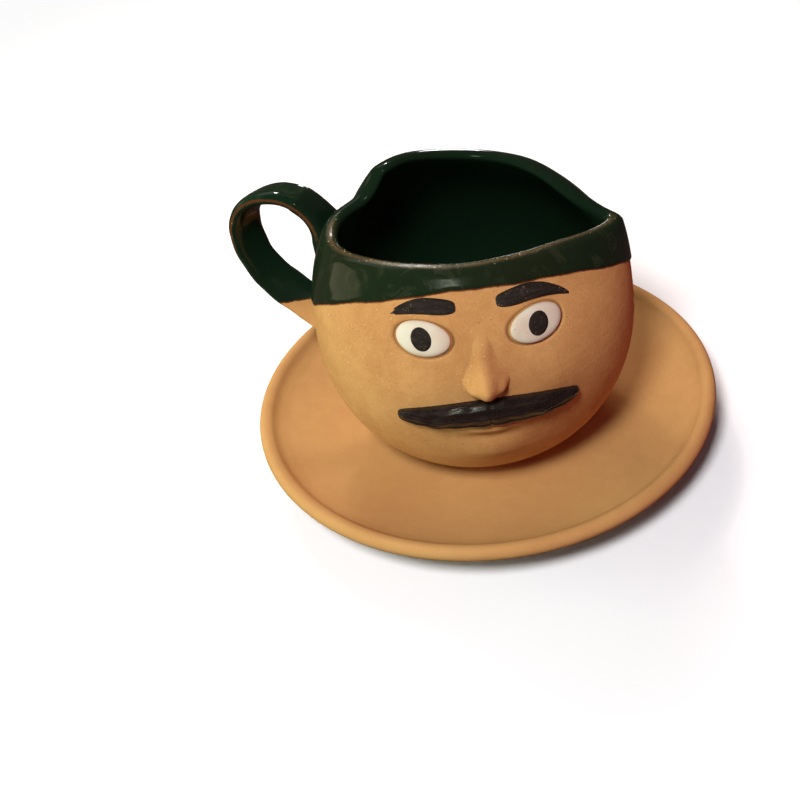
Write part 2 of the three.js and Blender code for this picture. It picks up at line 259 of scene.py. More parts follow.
# Fired clay: broad patches between two tones, fine grain, faint throwing lines, bright mica and dark pores
def makeClayGroup():
    c = clayGrain
    inputs = {"Place": "Vector", "Pale": "Color", "Deep": "Color"}
    inputs |= {"Patch": "Float", "Mica": "Float", "Grain": "Float"}
    tree, given, out = newGroup("clay_grain", inputs, surface)
    place, amount = given["Place"], given["Grain"]
    grain = noise(tree, place, *c["grain"])
    lines = streaks(tree, place, *c["lines"])
    patch = ranged(tree, noise(tree, place, *c["patch"]), *c["patchSpread"])
    blotch = ranged(tree, noise(tree, place, *c["blotch"]), *c["blotchSpread"])
    broad = plus(tree, times(tree, plus(tree, patch, blotch), given["Patch"]), c["middle"])
    tone = ragged(tree, broad, grain, amount)
    tone = ragged(tree, tone, lines, times(tree, amount, c["lineTone"]), clamp=True)
    mica = times(tree, specks(tree, place, *c["mica"]), given["Mica"])
    pores = specks(tree, place, *c["pores"])
    colour = layered(
        tree, mixed(tree, tone, given["Pale"], given["Deep"]),
        (times(tree, mica, c["micaShare"]), c["micaTone"]),
        (times(tree, pores, times(tree, amount, c["poreShare"])), c["poreTone"]),
    )
    rough = plus(tree, ranged(tree, grain, *c["roughSpread"]), times(tree, mica, c["micaGloss"]))
    height = plus(tree, times(tree, grain, amount), times(tree, lines, c["lineHeight"]))
    height = plus(tree, height, times(tree, mica, c["micaHeight"]))
    height = minus(tree, height, times(tree, pores, c["poreDepth"]))
    fillInputs(tree, out, {"Color": colour, "Roughness": rough, "Height": height})
    return tree


glazeBreak = {
    "swirl": (95, 4, 0.6, 2.2), "slow": (45, 2, 0.5), "grit": (1700, 3, 0.7),
    "darkGreen": (0.0034, 0.0142, 0.0068, 1), "green": (0.0068, 0.0232, 0.0105, 1), "greenSpread": (0.3, 0.7),
    "oliveCast": (0.0096, 0.0144, 0.0062, 1), "castSpread": (0.25, 0.75, 0.5, 1.0),
    "swirlTone": (0.0255, 0.0315, 0.0165, 1), "swirlSpread": (0.52, 0.7, 0.0, 0.6),
    "paintedShadeTone": (0.0042, 0.0118, 0.0058, 1),
    "thinOlive": (0.0375, 0.033, 0.015, 1), "oliveSpread": (0.2, 0.65), "oliveShare": 0.8,
    "thinBrown": (0.112, 0.069, 0.03, 1), "brownSpread": (0.6, 1.05), "brownShare": 0.85,
    "rust": (0.09, 0.027, 0.0105, 1), "rustSpread": (0.35, 0.8),
    "thinGrit": 0.9, "edgeGrit": 0.8,  # how far the grit breaks up the thin places and the lower edge
    "glints": (900, 0.35, 0.24), "glintTone": (0.56, 0.42, 0.255, 1), "glintShare": 0.7,
    "roughSpread": (0.3, 0.7, 0.05, 0.09), "satinSpread": (0.4, 0.65, 0.1, 0.24), "brownRough": 0.05,
    "satinFrom": (-0.034, -0.016),  # metres along X over which the satin of the front comes in
    "waveHeight": 0.35, "gritHeight": 0.3,
}


# Dipped glaze: olive and deep green in slow swirls, near black where the Deep input asks for painted shade,
# breaking to a gritty tan with painted glints where it is thin, and to rust along its lower edge
def makeGlazeGroup():
    g = glazeBreak
    inputs = {"Place": "Vector", "Deep": "Float", "Olive": "Float", "Thin": "Float", "Edge": "Float"}
    tree, given, out = newGroup("glaze_break", inputs, surface)
    place, deep = given["Place"], given["Deep"]
    swirl = noise(tree, place, *g["swirl"])
    slow = noise(tree, place, *g["slow"])
    grit = noise(tree, place, *g["grit"])
    worn = ragged(tree, given["Thin"], grit, g["thinGrit"])
    olive = ranged(tree, worn, *g["oliveSpread"])
    brown = ranged(tree, worn, *g["brownSpread"])
    rust = ranged(tree, ragged(tree, given["Edge"], grit, g["edgeGrit"]), *g["rustSpread"])
    # painted glints: pale specks of colour on the thin glaze that stand in for highlights on its grit
    glints = times(tree, specks(tree, place, *g["glints"]), olive)
    colour = layered(
        tree, mixed(tree, ranged(tree, slow, *g["greenSpread"]), g["darkGreen"], g["green"]),
        (times(tree, given["Olive"], ranged(tree, slow, *g["castSpread"])), g["oliveCast"]),
        (ranged(tree, swirl, *g["swirlSpread"]), g["swirlTone"]),
        # painted shade: the Deep input darkens the glaze towards near black
        (deep, g["paintedShadeTone"]),
        (times(tree, olive, g["oliveShare"]), g["thinOlive"]),
        (times(tree, brown, g["brownShare"]), g["thinBrown"]),
        (rust, g["rust"]),
        (times(tree, glints, g["glintShare"]), g["glintTone"]),
    )
    front = ranged(tree, addNode(tree, "SeparateXYZ", {0: place}).outputs[0], *g["satinFrom"])
    shallow = times(tree, front, minus(tree, 1.0, deep))
    satin = times(tree, shallow, ranged(tree, swirl, *g["satinSpread"]))
    rough = plus(tree, ranged(tree, slow, *g["roughSpread"]), satin)
    rough = plus(tree, rough, times(tree, larger(tree, brown, rust), g["brownRough"]))
    gritty = times(tree, grit, times(tree, olive, g["gritHeight"]))
    height = plus(tree, times(tree, swirl, g["waveHeight"]), gritty)
    fillInputs(tree, out, {"Color": colour, "Roughness": rough, "Height": height})
    return tree


clayDust = {
    "drift": (260, 3, 0.6), "driftSpread": (0.42, 0.66), "everywhere": 0.18,
    "haze": (2400, 2, 0.7), "hazeSpread": (0.5, 0.8, 0.0, 0.5),
    "dots": (1500, 0.5, 0.3),
}


# Clay dust left on dark slip: pale specks in drifting patches
def makeDustGroup():
    d = clayDust
    tree, given, out = newGroup("clay_dust", {"Place": "Vector", "Amount": "Float"}, {"Mask": "Float"})
    place = given["Place"]
    drift = ranged(tree, noise(tree, place, *d["drift"]), *d["driftSpread"])
    haze = ranged(tree, noise(tree, place, *d["haze"]), *d["hazeSpread"])
    mask = larger(tree, specks(tree, place, *d["dots"]), haze)
    mask = times(tree, mask, plus(tree, drift, d["everywhere"]))
    fillInputs(tree, out, {"Mask": times(tree, mask, given["Amount"], clamp=True)})
    return tree


clayGroup = makeClayGroup()
glazeGroup = makeGlazeGroup()
dustGroup = makeDustGroup()


# Finishes. Depths of bump are in metres.

clayTones = {"Pale": (0.52, 0.28, 0.108, 1), "Deep": (0.39, 0.172, 0.063, 1)}
cupSkin = {
    "clay": {**clayTones, "Patch": 0.5, "Mica": 1.0, "Grain": 0.9},
    "haloGrain": (1300, 2, 0.6), "haloRagged": 0.7, "haloSpread": (0.4, 1.0), "haloTone": (0.15, 0.05, 0.02, 1),
    "grooveSpread": (0.25, 1.0, 0.0, 0.7), "grooveShadeTone": (0.125, 0.045, 0.018, 1),
    "plain": {"Specular IOR Level": 0.2}, "depth": 0.00012,
}


# Cup clay, with a rust line below the edge of the glaze, and painted shade: darker skin in the modelled grooves
# round the eyes
def makeCupClay():
    s = cupSkin
    material, tree, shader, place = newMaterial("cup_clay", s["plain"])
    clay = useGroup(tree, clayGroup, {"Place": place, **s["clay"]})
    near = ragged(tree, attribute(tree, "halo"), noise(tree, place, *s["haloGrain"]), s["haloRagged"])
    # painted shade in the grooves round the eyes
    groove = ranged(tree, attribute(tree, "groove"), *s["grooveSpread"])
    halo = ranged(tree, near, *s["haloSpread"])
    colour = layered(tree, clay["Color"], (halo, s["haloTone"]), (groove, s["grooveShadeTone"]))
    finishShader(tree, shader, colour, clay["Roughness"], clay["Height"], s["depth"])
    return material


saucerSkin = {
    "clay": {
        "Pale": (0.525, 0.297, 0.116, 1), "Deep": (0.395, 0.181, 0.068, 1),
        "Patch": 0.22, "Mica": 0.15, "Grain": 0.35,
    },
    "plain": {"Specular IOR Level": 0.2}, "depth": 0.00007,
}


def makeSaucerClay():
    s = saucerSkin
    material, tree, shader, place = newMaterial("saucer_clay", s["plain"])
    clay = useGroup(tree, clayGroup, {"Place": place, **s["clay"]})
    finishShader(tree, shader, clay["Color"], clay["Roughness"], clay["Height"], s["depth"])
    return material


cupGlaze = {"plain": {"IOR": 1.5, "Specular IOR Level": 0.27}, "depth": 0.0001}


def makeGreenGlaze():
    material, tree, shader, place = newMaterial("green_glaze", cupGlaze["plain"])
    # the deep mark is painted shade: it darkens the glaze inside the cup and on the back rim
    deep = attribute(tree, "deep")
    inputs = {"Place": place, "Deep": deep, "Olive": minus(tree, 1.0, deep)}
    inputs |= {"Thin": attribute(tree, "thin"), "Edge": attribute(tree, "edge")}
    glaze = useGroup(tree, glazeGroup, inputs)
    finishShader(tree, shader, glaze["Color"], glaze["Roughness"], glaze["Height"], cupGlaze["depth"])
    return material


strapSkin = {
    "clay": {**clayTones, "Patch": 0.3, "Mica": 0.6, "Grain": 0.6},
    "wander": (420, 3, 0.65),
    "wanderHeight": 0.0012, "dipSoftness": 0.00012, "rustWidth": 0.0008,  # heights in metres
    "edgeRust": 0.8,
    "innerDull": 0.14,  # less gloss inside the loop
    "glazeStep": 2.5,
    "plain": {"IOR": 1.5, "Specular IOR Level": 0.3}, "depth": 0.0001,
}


# Strap: glaze above the dip plane, bare clay below it, and rust along the line between them
def makeStrapFinish(dipSlope, dipLevel):
    s = strapSkin
    material, tree, shader, place = newMaterial("strap_glaze", s["plain"])
    parts = addNode(tree, "SeparateXYZ", {0: place}).outputs
    plane = minus(tree, dipLevel * mm, times(tree, parts[1], dipSlope))
    wander = noise(tree, place, *s["wander"])
    above = ragged(tree, minus(tree, parts[2], plane), wander, s["wanderHeight"])
    glazed = ranged(tree, above, -s["dipSoftness"], s["dipSoftness"])
    rust = times(tree, attribute(tree, "rust"), s["edgeRust"])
    edge = larger(tree, ranged(tree, above, s["rustWidth"], 0.0), rust)
    # the deep mark is painted shade: it darkens the root lump and the faces inside the loop
    deep = attribute(tree, "deep")
    inputs = {"Place": place, "Deep": deep, "Olive": 0.0, "Thin": attribute(tree, "thin"), "Edge": edge}
    glaze = useGroup(tree, glazeGroup, inputs)
    clay = useGroup(tree, clayGroup, {"Place": place, **s["clay"]})
    dull = plus(tree, glaze["Roughness"], times(tree, deep, s["innerDull"]))
    colour = mixed(tree, glazed, clay["Color"], glaze["Color"])
    rough = blended(tree, glazed, clay["Roughness"], dull)
    step = times(tree, glazed, s["glazeStep"])
    height = plus(tree, step, blended(tree, glazed, clay["Height"], glaze["Height"]))
    finishShader(tree, shader, colour, rough, height, s["depth"])
    return material


blackSlip = {
    "streaks": ((140, 300, 1500), 3, 0.6), "grain": (1900, 2, 0.6), "grainHeight": 0.35,
    "streakTone": 1.9, "streakSpread": (0.35, 0.7),  # how much lighter the streaks are, and from where
    "streakRough": 0.16, "roughFrom": (0.3, 0.75), "dustTone": (0.225, 0.142, 0.098, 1), "dustRough": 0.35,
}
mattSlip = {
    "tone": (0.012, 0.0094, 0.0086), "rough": 0.5, "dust": 0.55,
    "plain": {"IOR": 1.5, "Specular IOR Level": 0.27}, "depth": 0.00006,
}
glossSlip = {
    "tone": (0.0085, 0.0056, 0.0052), "rough": 0.2, "dust": 0.1,
    "plain": {"IOR": 1.5, "Specular IOR Level": 0.48}, "depth": 0.00007,
}


# Black slip: a base tone, streaks that run along the face, and dust
def makeBlackSlip(name, slip):
    b = blackSlip
    material, tree, shader, place = newMaterial(name, slip["plain"])
    streak = streaks(tree, place, *b["streaks"])
    grain = noise(tree, place, *b["grain"])
    dusty = useGroup(tree, dustGroup, {"Place": place, "Amount": slip["dust"]})["Mask"]
    pale = tuple(b["streakTone"] * part for part in slip["tone"])
    colour = mixed(tree, ranged(tree, streak, *b["streakSpread"]), (*slip["tone"], 1), (*pale, 1))
    colour = mixed(tree, dusty, colour, b["dustTone"])
    rough = ranged(tree, streak, *b["roughFrom"], slip["rough"], slip["rough"] + b["streakRough"])
    rough = plus(tree, rough, times(tree, dusty, b["dustRough"]))
    height = plus(tree, streak, times(tree, grain, b["grainHeight"]))
    finishShader(tree, shader, colour, rough, height, slip["depth"])
    return material


eyeSlip = {
    "white": (0.585, 0.525, 0.442, 1), "warm": (0.555, 0.457, 0.375, 1),
    "cloud": (150, 2, 0.5), "cloudSpread": (0.35, 0.65),
    "brush": ((220, 220, 900), 3, 0.6), "brushTone": (0.615, 0.577, 0.517, 1),
    "brushSpread": (0.55, 0.8, 0.0, 0.35), "roughSpread": (0.3, 0.7, 0.42, 0.58),
    "pits": (700, 0.12, 0.16), "pitTone": (0.262, 0.15, 0.09, 1), "pitShare": 0.6,
    "rimGrain": (800, 2, 0.5), "rimRagged": 0.6, "rimSpread": (0.5, 0.9), "clayTone": (0.45, 0.247, 0.105, 1),
    "plain": {"IOR": 1.48, "Specular IOR Level": 0.3}, "depth": 0.00005,
}


# White slip: brushed, with a warm cast in patches, pinholes, and clay showing through at the rim
def makeWhiteSlip():
    e = eyeSlip
    material, tree, shader, place = newMaterial("white_slip", e["plain"])
    brush = streaks(tree, place, *e["brush"])
    cloud = ranged(tree, noise(tree, place, *e["cloud"]), *e["cloudSpread"])
    pits = specks(tree, place, *e["pits"])
    bare = ragged(tree, attribute(tree, "rim"), noise(tree, place, *e["rimGrain"]), e["rimRagged"])
    colour = layered(
        tree, mixed(tree, cloud, e["white"], e["warm"]),
        (ranged(tree, brush, *e["brushSpread"]), e["brushTone"]),
        (times(tree, pits, e["pitShare"]), e["pitTone"]),
        (ranged(tree, bare, *e["rimSpread"]), e["clayTone"]),
    )
    rough = ranged(tree, brush, *e["roughSpread"])
    finishShader(tree, shader, colour, rough, minus(tree, brush, pits), e["depth"])
    return material


# Shape of the cup, the same as the solids with rounded ends

cup = {
    "stand": 7.0,  # height of the saucer's well
    "ball": 43.3,
    "belly": 36.3,
    "foot": 16.0,
    "wall": 4.0,
    "floor": 5.0,
    "floorFlat": 14.0,
    "rimInset": 14.2,
    "rimRise": 33.3,
    "shoulder": 2.2,
    "peak": (130.0, 4.3, 35.0),  # angle, rise and width of the raised back
    "tipRound": 2.2,  # degrees over which a pulled end is rounded
}
pulledEnds = [
    {"angle": -2.0, "turn": 1, "reach": 12.0, "drop": 9.0,
     "reachFade": ((14.4, 1), (22, 1.2)), "dropFade": ((23, 1.35), (38, 1.3))},
    {"angle": 172.0, "turn": -1, "reach": 8.8, "drop": 6.6,
     "reachFade": ((23, 2.7), (40, 1.5)), "dropFade": ((28, 8), (36, 1.5))},
]
dip = {
    "belowRim": 4.1, "sideRise": 9.0, "frontAngle": -90.0,
    "wander": [(7, 0.2, 1.3), (17, 0.12, 0.4), (43, 0.04, 2.1), (97, 0.02, 0.7)],  # up and down round the cup
    "halvings": 40,
}
lipRadius = cup["wall"] / 2
outerSide = {"belly": cup["ball"], "flat": cup["foot"], "base": 0.0, "inset": 0.0}
innerSide = {
    "belly": cup["ball"] - cup["wall"],
    "flat": cup["floorFlat"],
    "base": cup["floor"],
    "inset": cup["wall"],
}


def wrapTurn(angle):
    return (angle + 180) % 360 - 180


# Share of a pull left at an angle: exp(-(d / width) ^ power), d being the rounded distance from its end
def pullLeft(end, fade, angle):
    away = end["turn"] * wrapTurn(angle - end["angle"])
    soft = np.sqrt(away**2 + cup["tipRound"]**2) - cup["tipRound"]
    (behindWidth, behindPower), (beforeWidth, beforePower) = fade
    behind = np.exp(-(soft / behindWidth) ** behindPower)
    before = np.exp(-(soft / beforeWidth) ** beforePower)
    return np.where(away > 0, behind, before)


# Rim's outer edge: the plain circle plus the pulls outwards, less the drops, plus a bell-shaped rise behind
def rimAt(angle):
    peakAngle, peakRise, peakWidth = cup["peak"]
    radius = cup["ball"] - cup["rimInset"] + 0.0 * angle
    height = cup["belly"] + cup["rimRise"]
    height = height + peakRise * np.exp(-(wrapTurn(angle - peakAngle) / peakWidth) ** 2)
    for end in pulledEnds:
        radius = radius + end["reach"] * pullLeft(end, end["reachFade"], angle)
        height = height - end["drop"] * pullLeft(end, end["dropFade"], angle)
    return radius, height


# Radius of a side of the wall: a quarter of an ellipse below the belly and a power curve above it
def wallRadius(side, angle, height):
    rimRadius, rimHeight = rimAt(angle)
    depth = np.clip((cup["belly"] - height) / (cup["belly"] - side["base"]), 0, 1)
    low = side["flat"] + (side["belly"] - side["flat"]) * np.sqrt(1 - depth**2)
    share = np.clip((height - cup["belly"]) / (rimHeight - lipRadius - cup["belly"]), 0, None)
    return low + (rimRadius - side["inset"] - side["belly"]) * share ** cup["shoulder"]


# Point of a side of the wall: step 0 is the base, 1 the belly and 2 the lip
def wallPoints(side, angle, step):
    rimHeight = rimAt(angle)[1]
    low = cup["belly"] - (cup["belly"] - side["base"]) * np.cos(np.minimum(step, 1) * math.pi / 2)
    height = low + (rimHeight - lipRadius - cup["belly"]) * np.maximum(step - 1, 0)
    return roundPoints(angle, wallRadius(side, angle, height), height)


# Lip: a cubic Bezier curve that leaves the outer side and joins the inner side along their own directions
def lipPoints(angle, turn):
    rimRadius, rimHeight = rimAt(angle)
    top = rimHeight - lipRadius
    pull = 4 / 3 * lipRadius
    ends = []
    for side in (outerSide, innerSide):
        edge = rimRadius - side["inset"]
        slope = cup["shoulder"] * (edge - side["belly"]) / (top - cup["belly"])
        steep = np.hypot(slope, 1)
        ends.append((edge, edge + pull * slope / steep, top + pull / steep))
    (outer, outerPull, outerTop), (inner, innerPull, innerTop) = ends
    radius = bezier(turn, outer, outerPull, innerPull, inner)
    return roundPoints(angle, radius, bezier(turn, top, outerTop, innerTop, top))


dipFrontRise = float(rimAt(np.array(dip["frontAngle"]))[1]) - dip["belowRim"] - cup["belly"]
dipFrontRadius = float(wallRadius(outerSide, np.array(dip["frontAngle"]), cup["belly"] + dipFrontRise))
dipSlope = (dipFrontRise - dip["sideRise"]) / dipFrontRadius


# Step at which the wall crosses the tilted dip plane, found by halving
def dipSteps(angle):
    low = np.zeros_like(angle)
    high = np.full_like(angle, 2.0)
    wander = waves(np.radians(angle), dip["wander"])
    for halving in range(dip["halvings"]):
        middle = (low + high) / 2
        point = wallPoints(outerSide, angle, middle)
        level = cup["belly"] + dip["sideRise"] - dipSlope * point[..., 1] + wander
        under = point[..., 2] < level
        low = np.where(under, middle, low)
        high = np.where(under, high, middle)
    return low


# Front of the cup: across and up are arcs on the ball from the middle of its front
def frontPoints(across, up):
    rise = up / cup["ball"]
    height = cup["belly"] + cup["ball"] * np.sin(rise)
    angle = dip["frontAngle"] + np.degrees(across / (cup["ball"] * np.cos(rise)))
    return roundPoints(angle, wallRadius(outerSide, angle, height), height)


# The same, lifted off the wall along its normal, which is the step across crossed with the step up
def onFront(across, up, lift):
    step = 0.02  # millimetres
    point = frontPoints(across, up)
    right = frontPoints(across + step, up) - point
    over = frontPoints(across, up + step) - point
    normal = np.cross(right, over)
    normal /= np.linalg.norm(normal, axis=-1, keepdims=True)
    return point + normal * np.asarray(lift)[..., None]


# Face measures: brow, nose base and chin lie a third of the face apart, on a head that leans back as the
# dip line does. They are arcs on the ball, as across and up are.

face = {
    "dipToBrow": 1.5,
    "chinAngle": -25.0,
    "browInner": 5.0, "browLength": 21.0, "browHeight": 4.6, "browFall": 5.0, "browRelief": 1.15,
    "eyeWidth": 14.6, "eyeHeight": 8.6, "eyeRelief": 1.3,
    "pupil": 5.6, "pupilRelief": 0.5,
    "noseWidth": 12.0,
    "moustacheLength": 25.0, "moustacheHeight": 7.4, "moustacheRelief": 3.3, "moustacheFall": 2.2,
    "parting": -0.8, "noseToMoustache": 0.6,
    "sunk": 0.35,  # how deep every pressed-on pad goes into the wall
}
browUp = cup["ball"] * math.asin(dipFrontRise / cup["ball"]) - face["dipToBrow"] - face["browHeight"] / 2
chinUp = cup["ball"] * math.radians(face["chinAngle"])
noseUp = (browUp + chinUp) / 2
eyeUp = browUp - (browUp - noseUp) / 3
mouthUp = noseUp - (noseUp - chinUp) / 3

wall = {
    "lines": [(0.008, 2.7, 1), (0.006, 1.7, -2)],  # height, pitch and starts of each spiral of throwing lines
    "forms": [  # height, middle and width of the cheeks, the lower lip, the hollow under it and the chin
        (0.7, (17.0, noseUp + 1), (8.0, 7.0)),
        (1.3, (0.0, mouthUp - 2.6), (6.5, 1.7)),
        (-0.5, (0.0, mouthUp - 6.0), (7.0, 1.7)),
        (1.0, (0.0, chinUp + 3.0), (8.0, 4.5)),
    ],
    "groove": 0.45, "grooveWidth": 0.3, "grooveRing": 1.07,  # round each eye; the ring is a share of the eye
    "front": (46, 40),  # arcs across between which the modelled forms come in
    "steepest": 0.95,  # share of the ball's radius past which up no longer grows
}


# A bump of exp(-x^2 - y^2), x and y being distances from its middle over its widths
def bell(across, up, middle, width):
    return np.exp(-((across - middle[0]) / width[0]) ** 2 - ((up - middle[1]) / width[1]) ** 2)


# Relief of the bare wall: throwing lines as slow spirals of sines, and on the front a groove round each eye,
# soft cheeks, a lower lip with a hollow under it, and a chin, each a bell
def wallRelief(angle, height):
    lines = 0
    for size, pitch, starts in wall["lines"]:
        lines = lines + size * np.sin(fullTurn * (height / pitch + starts * angle / 360))
    rise = np.arcsin(np.clip((height - cup["belly"]) / cup["ball"], -wall["steepest"], wall["steepest"]))
    up = cup["ball"] * rise
    side = np.abs(cup["ball"] * np.cos(rise) * np.radians(wrapTurn(angle - dip["frontAngle"])))
    halfWide, halfHigh = face["eyeWidth"] / 2, face["eyeHeight"] / 2
    eye = np.hypot((side - face["eyeWidth"]) / halfWide, (up - eyeUp) / halfHigh)
    groove = np.exp(-((eye - wall["grooveRing"]) * halfHigh / wall["grooveWidth"]) ** 2)
    forms = sum(size * bell(side, up, middle, width) for size, middle, width in wall["forms"])
    inFront = smoothStep(*wall["front"], side)
    return lines + (forms - wall["groove"] * groove) * inFront, groove * inFront


# Saucer

saucer = {
    "radius": 65.0, "height": 15.2, "bead": 2.2, "drop": 2.5, "dishPower": 2.6, "thickness": 4.8,
    "well": 27.0, "foot": 37.0, "footWidth": 5.0, "footHeight": 2.2,
    "beadTurn": (-70.0, 146.0),  # angles round the bead, from the underside to the cove
    "coveEnd": 56.0,  # radius where the cove ends
    "covePulls": (2.0, 2.2),  # how far the cove heads on at its two ends
    "underRows": 20, "beadRows": 40, "coveRows": 24, "dishRows": 60,
    "softness": 0.45, "softReach": 4,  # width of the bell that rounds the corners, and how many widths count
    "spacing": 0.05,  # steps that the rounding is worked out in
    "rimRows": (7, 63.0, 4.0), "footRows": (4, 34.5, 5.0),  # closer rows: how many more, radius and width
    "footTop": 4.0,
    "underShort": 1.0,  # how far short of the rolled rim the underside ends
    "free": (40.0, 63.0),  # radii between which the rim comes to wander
    "wave": [(2, 0.16, 0.7), (3, 0.1, 2.0)], "oval": [(2, 0.0018, 1.9), (5, 0.001, 0.0)],
    "lineHeight": 0.03, "linePitch": 3.1,  # turning lines in the dish
    "lineFrom": (28.0, 34.0), "lineLevel": 5.0,
    "columns": 288, "rows": 200,
}


# Profile of radius and height, from under the middle, over the foot ring and the rolled rim, down a cove that
# is a cubic Bezier curve, to the well. A bell-shaped average over each point and its neighbours rounds the
# corners.
def saucerProfile():
    s = saucer
    rimInner = s["radius"] - 2 * s["bead"]
    dishEdge = s["height"] - s["drop"]
    share = lambda r: np.clip((r - s["well"]) / (rimInner - s["well"]), 0, None)
    dish = lambda r: cup["stand"] + (dishEdge - cup["stand"]) * share(r) ** s["dishPower"]
    under = np.linspace(s["foot"] + s["thickness"], rimInner - s["underShort"], s["underRows"])
    over = np.linspace(s["coveEnd"], s["well"], s["dishRows"])
    footInner = s["foot"] - s["footWidth"]
    turn = np.radians(np.linspace(*s["beadTurn"], s["beadRows"]))
    bead = np.stack([
        s["radius"] - s["bead"] + s["bead"] * np.cos(turn),
        s["height"] - s["bead"] + s["bead"] * np.sin(turn),
    ], axis=-1)
    heading = np.array([-np.sin(turn[-1]), np.cos(turn[-1])])
    low = np.array([s["coveEnd"], dish(s["coveEnd"])])
    slope = np.array([1, s["dishPower"] * (low[1] - cup["stand"]) / (s["coveEnd"] - s["well"])])
    beadPull, dishPull = bead[-1] + s["covePulls"][0] * heading, low + s["covePulls"][1] * slope
    cove = bezier(np.linspace(0, 1, s["coveRows"])[1:-1, None], bead[-1], beadPull, dishPull, low)
    corners = np.concatenate([
        [[0, s["footHeight"]], [footInner - s["footHeight"], s["footHeight"]]],
        [[footInner, 0], [s["foot"], 0]],
        [[s["foot"] + s["footHeight"] / 2, dish(s["foot"]) - s["thickness"]]],
        np.stack([under, dish(under) - s["thickness"]], axis=-1),
        bead,
        cove,
        np.stack([over, dish(over)], axis=-1),
        [[0, cup["stand"]]],
    ])
    length = np.concatenate([[0], np.cumsum(np.hypot(*np.diff(corners, axis=0).T))])
    dense = np.arange(0, length[-1], s["spacing"])
    half = int(s["softReach"] * s["softness"] / s["spacing"])
    weights = np.exp(-(np.arange(-half, half + 1) * s["spacing"] / s["softness"]) ** 2)
    weights /= weights.sum()
    smooth = []
    for part in corners.T:
        line = np.interp(dense, length, part)
        ends = 2 * line[0] - line[half:0:-1], 2 * line[-1] - line[-2:-half - 2:-1]
        smooth.append(np.convolve(np.concatenate([ends[0], line, ends[1]]), weights, mode="valid"))
    radius, height = smooth
    closer = lambda more, middle, width: more * np.exp(-((radius - middle) / width) ** 2)
    density = 1 + closer(*s["rimRows"]) + closer(*s["footRows"]) * (height < s["footTop"])
    travel = np.cumsum(density)
    picks = np.linspace(travel[0], travel[-1], s["rows"] + 2)[1:-1]
    return np.interp(picks, travel, radius), np.interp(picks, travel, height)


# Lathe of the profile, with a slow wave in the height of the rim and faint turning lines in the dish
def makeSaucer(finish):
    s = saucer
    radius, height = (part[:, None] for part in saucerProfile())
    angle = np.arange(s["columns"]) * 360 / s["columns"]
    turn = np.radians(angle)
    free = smoothStep(*s["free"], radius)
    lines = s["lineHeight"] * np.sin(fullTurn * (radius / s["linePitch"] + angle / 360))
    lines = lines * smoothStep(*s["lineFrom"], radius) * (height > s["lineLevel"])
    breadth = 1 + free * waves(turn, s["oval"])
    rings = roundPoints(angle, radius * breadth, height + free * waves(turn, s["wave"]) + lines)
    poles = (0, 0, s["footHeight"]), (0, 0, cup["stand"])
    addPiece("saucer_dish", "saucer", rings, poles, finish, "terracotta", body="saucer")


# Clay body

clayBody = {
    "columns": 400, "even": 0.45,  # share of the columns that is spread evenly; the rest gathers on the front
    "outsideRows": 178, "underGlazeRows": 10, "lipRows": 6, "insideRows": 24,
    "dipFade": 1.5, "footFade": 3.0,  # distances from dip line and foot over which the relief comes in
    "haloWidth": 0.4,
}


# Column angles round the cup, closest together on the front: half a turn times e t + (1 - e) t^3 on each side
def frontAngles(columns, even):
    share = np.arange(columns) * 2 / columns - 1
    return dip["frontAngle"] + 180 * (even * share + (1 - even) * share**3)


# Rows from the foot up the outside to the dip line, on under the glaze, over the lip and down to the floor
def makeClayBody(finish):
    c = clayBody
    angle = frontAngles(c["columns"], c["even"])
    dipStep = dipSteps(angle)
    up = np.linspace(0, 1, c["outsideRows"])[:, None]
    outside = wallPoints(outerSide, angle, up * dipStep)
    share = np.linspace(0, 1, c["underGlazeRows"] + 1)[1:, None]
    hidden = wallPoints(outerSide, angle, dipStep + share * (2 - dipStep))
    lip = lipPoints(angle, np.linspace(0, 1, c["lipRows"] + 1)[1:, None])
    inside = wallPoints(innerSide, angle, np.linspace(2, 0, c["insideRows"] + 1)[1:, None] + 0 * angle)
    rings = np.concatenate([outside, hidden, lip, inside])
    poles = np.array([0, 0, 0]), np.array([0, 0, cup["floor"]])
    normal = ringNormals(rings, *poles)
    count = c["outsideRows"]
    relief, groove = wallRelief(angle, outside[..., 2])
    toDip = np.linalg.norm(outside - outside[-1], axis=-1)
    shown = smoothStep(0, c["dipFade"], toDip) * smoothStep(0, c["footFade"], outside[..., 2])
    rings[:count] += normal[:count] * (relief * shown)[..., None]
    halo = np.ones(rings.shape[:2])
    halo[:count] = np.exp(-(toDip / c["haloWidth"]) ** 2)
    # the groove mark carries painted shade into the grooves round the eyes
    grooves = np.zeros(rings.shape[:2])
    grooves[:count] = groove
    marks = {"halo": halo, "groove": grooves}
    addPiece("clay_body", "cup_body", rings, poles, finish, "terracotta", marks=marks)


# Glaze skin

glazeSkin = {
    "columns": 420, "bandRows": 40, "lipRows": 16, "insideRows": 64, "backRows": 20,
    "bandGather": 1.5,  # power that gathers the band's rows at the dip line
    "thickness": 0.5, "edgeLength": 0.4,
    "roll": (0.08, 1.0, 0.8),  # extra share of the thickness along the lower edge, its place and its width
    "sunk": 0.25,  # how far its back lies in the clay
    "stepBelow": 0.02,  # step down the wall from the dip line, for the direction of the edge
    "crest": (-0.2, 1.05),  # place and width of the thin line along the lip
    "thin": 0.9, "thinWander": [(5, 0.03, 0.5), (13, 0.024, 2.0)], "thinLoss": 0.3,
    "behind": (0.02, 0.25, 0.17),  # sines between which the back begins, and how far it is turned
    # painted shade: the back rim is darkened as the inside is
    "behindThin": 0.92, "backRimShade": 0.85,  # the back rim is hardly bare, and as dark as the inside
    # distances past the lip's crest over which the inside turns near black: painted shade
    "insideShadeFrom": (0.8, 7.0),
    "sag": (9, 0.06, 1.0), "sagLength": 6.0, "sagFrom": (1.0, 5.0),
    "rustWidth": 0.3,
}


